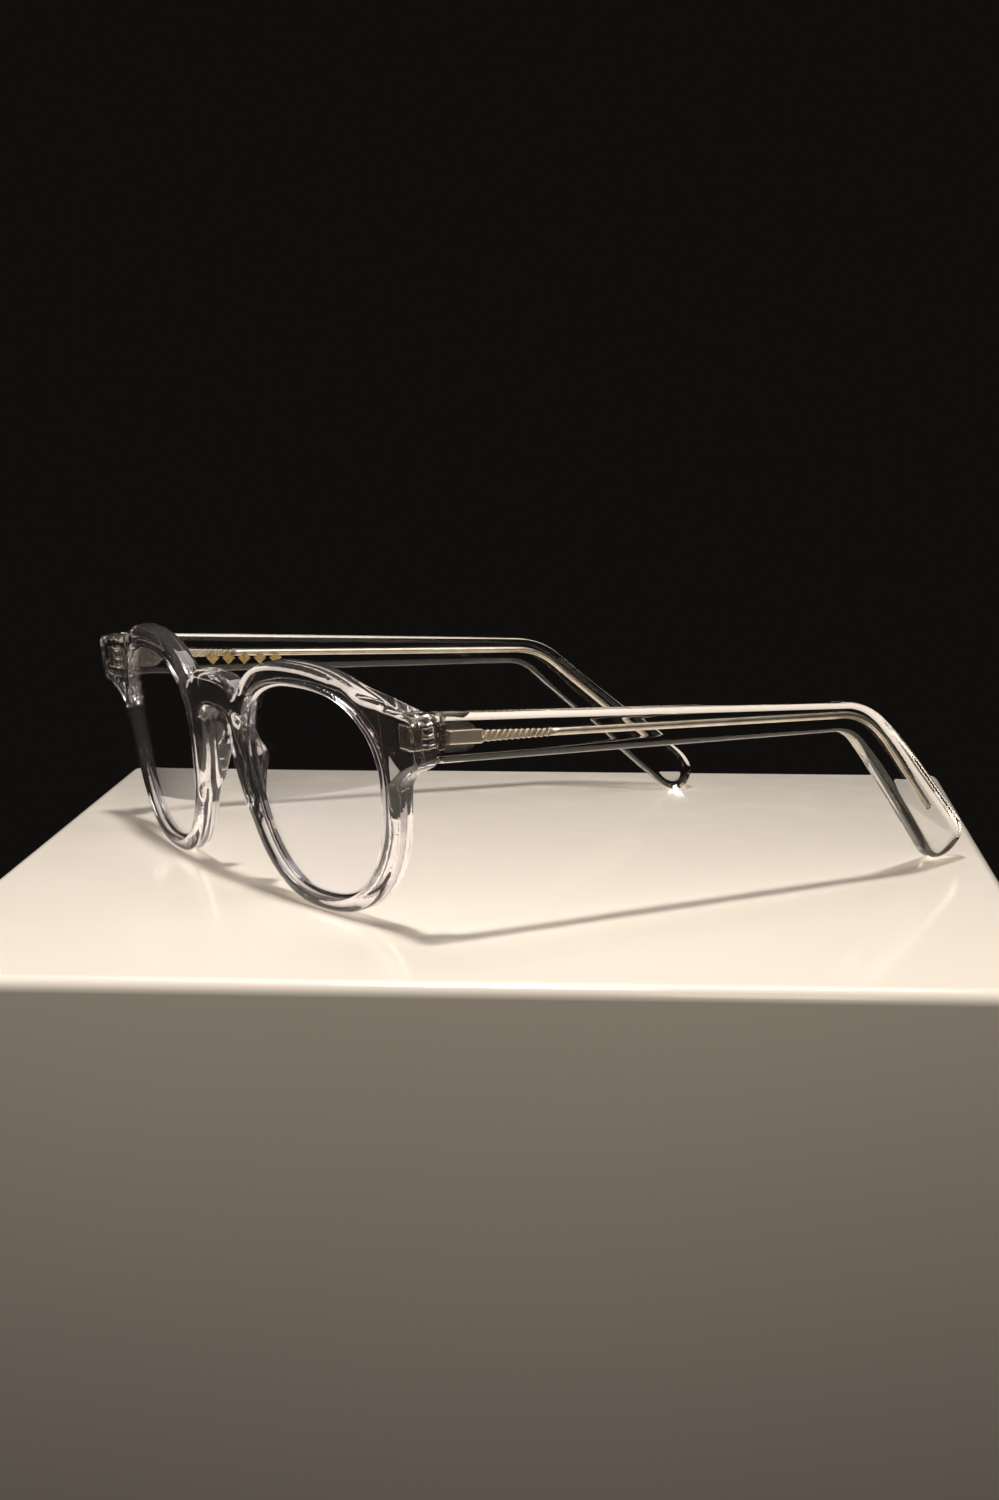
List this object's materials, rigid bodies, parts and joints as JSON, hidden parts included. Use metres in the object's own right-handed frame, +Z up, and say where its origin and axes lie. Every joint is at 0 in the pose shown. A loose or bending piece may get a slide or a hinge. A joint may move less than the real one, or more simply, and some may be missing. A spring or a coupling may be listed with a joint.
{
  "type": "eyeglasses",
  "caption": "Eyeglasses with a clear acetate panto frame, clear lenses, built-up nose pads and cored temples that fold on barrel hinges.",
  "frame": {"origin": "centre of the footprint at the height of the surface that the rim bottoms and temple tips rest on", "axes": "+X towards the wearer's left, +Y from the lenses back along the open temples, +Z up"},
  "size_m": [0.145, 0.1391, 0.0453],
  "materials": {
    "acetate": "polished clear cellulose acetate with a faint cool grey tint",
    "lens": "polished clear lens with a faint violet anti-reflection coat",
    "hinge_metal": "bright nickel silver, lightly brushed",
    "screw_metal": "turned steel screw with a slotted head",
    "core_metal": "nickel silver core wire with slanting pressed ribs",
    "foil": "hot-stamped gold foil"
  },
  "bodies": {
    "front": {"front": "acetate", "lens_left": "lens", "lens_right": "lens", "nose_pad_left": "acetate", "nose_pad_right": "acetate", "hinge_front_left": "hinge_metal", "hinge_front_right": "hinge_metal", "hinge_screw_left": "screw_metal", "hinge_screw_right": "screw_metal"},
    "temple_left": {"temple_left": "acetate", "core_wire_left": "core_metal", "hinge_temple_left": "hinge_metal"},
    "temple_right": {"temple_right": "acetate", "core_wire_right": "core_metal", "hinge_temple_right": "hinge_metal", "foil_mark_right": "foil"}
  },
  "joints": [
    {"name": "fold_left", "type": "hinge", "parent": "front", "child": "temple_left", "pos_m": [0.06673, -0.05726, 0.03543], "axis": [-0.0035, 0.0347, 0.9994], "range_deg": [0, 78]},
    {"name": "fold_right", "type": "hinge", "parent": "front", "child": "temple_right", "pos_m": [-0.06673, -0.05726, 0.03543], "axis": [-0.0035, -0.0347, -0.9994], "range_deg": [0, 57]}
  ]
}
